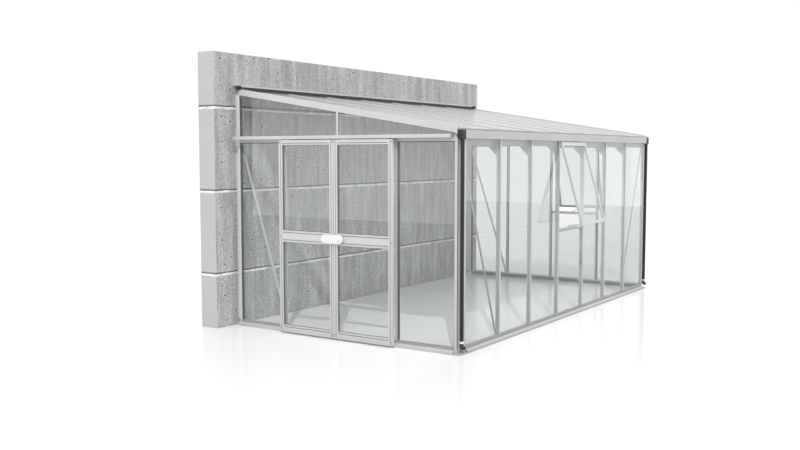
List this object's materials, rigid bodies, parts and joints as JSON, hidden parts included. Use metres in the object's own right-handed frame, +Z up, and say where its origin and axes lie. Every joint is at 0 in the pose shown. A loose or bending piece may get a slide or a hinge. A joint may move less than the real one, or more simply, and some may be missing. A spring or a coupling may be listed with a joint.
{
  "type": "lean-to greenhouse",
  "caption": "Lean-to glass greenhouse with an aluminium frame, opal roof, sliding doors in one end and open vents, set against a free-standing concrete wall.",
  "frame": {"origin": "centre of the whole outline's base, on the ground", "axes": "+X along the wall from the door end to the far end, +Y towards the wall, +Z up"},
  "size_m": [5.022, 2.9229, 2.586],
  "materials": {
    "concrete_wall": "matte",
    "aluminium_frame": "satin",
    "door_aluminium": "satin",
    "clear_glass": "gloss",
    "roof_sheet": "gloss",
    "black_plastic": "satin",
    "white_plastic": "satin"
  },
  "bodies": {
    "greenhouse": {"wall_course_1": "concrete_wall", "wall_course_2": "concrete_wall", "wall_course_3": "concrete_wall", "wall_course_4": "concrete_wall", "eave_sill": "aluminium_frame", "door_end_sill": "aluminium_frame", "far_end_sill": "aluminium_frame", "corner_posts": "aluminium_frame", "wall_posts": "aluminium_frame", "eave_bars": "aluminium_frame", "door_posts": "aluminium_frame", "far_end_bars": "aluminium_frame", "upper_bars": "aluminium_frame", "end_rails": "aluminium_frame", "door_track": "aluminium_frame", "eave_beam": "aluminium_frame", "eave_gutter": "aluminium_frame", "ridge_profile": "aluminium_frame", "corner_feet": "aluminium_frame", "roof_bars": "aluminium_frame", "verge_bars": "aluminium_frame", "knee_braces": "aluminium_frame", "eave_braces": "aluminium_frame", "end_braces": "aluminium_frame", "vent_frames": "aluminium_frame", "vent_sashes": "aluminium_frame", "vent_hinges": "aluminium_frame", "vent_stays": "aluminium_frame", "eave_glass": "clear_glass", "door_end_glass": "clear_glass", "far_end_glass": "clear_glass", "vent_glass": "clear_glass", "gutter_end_caps": "black_plastic", "downpipes": "black_plastic", "pipe_shoes": "black_plastic", "pipe_outlets": "black_plastic", "ridge_seal": "black_plastic", "ridge_end_blocks": "black_plastic", "pipe_collars": "white_plastic", "roof_sheets": "roof_sheet"},
    "door_left": {"door_left_stiles": "door_aluminium", "door_left_rails": "door_aluminium", "door_left_glass": "clear_glass", "door_left_hangers": "door_aluminium", "door_latch": "white_plastic"},
    "door_right": {"door_right_stiles": "door_aluminium", "door_right_rails": "door_aluminium", "door_right_glass": "clear_glass", "door_right_hangers": "door_aluminium"}
  },
  "joints": [
    {"name": "door_left_slide", "type": "slide", "parent": "greenhouse", "child": "door_left", "axis": [0, 1, 0], "range_m": [0, 0.555]},
    {"name": "door_right_slide", "type": "slide", "parent": "greenhouse", "child": "door_right", "axis": [0, -1, 0], "range_m": [0, 0.555]}
  ]
}
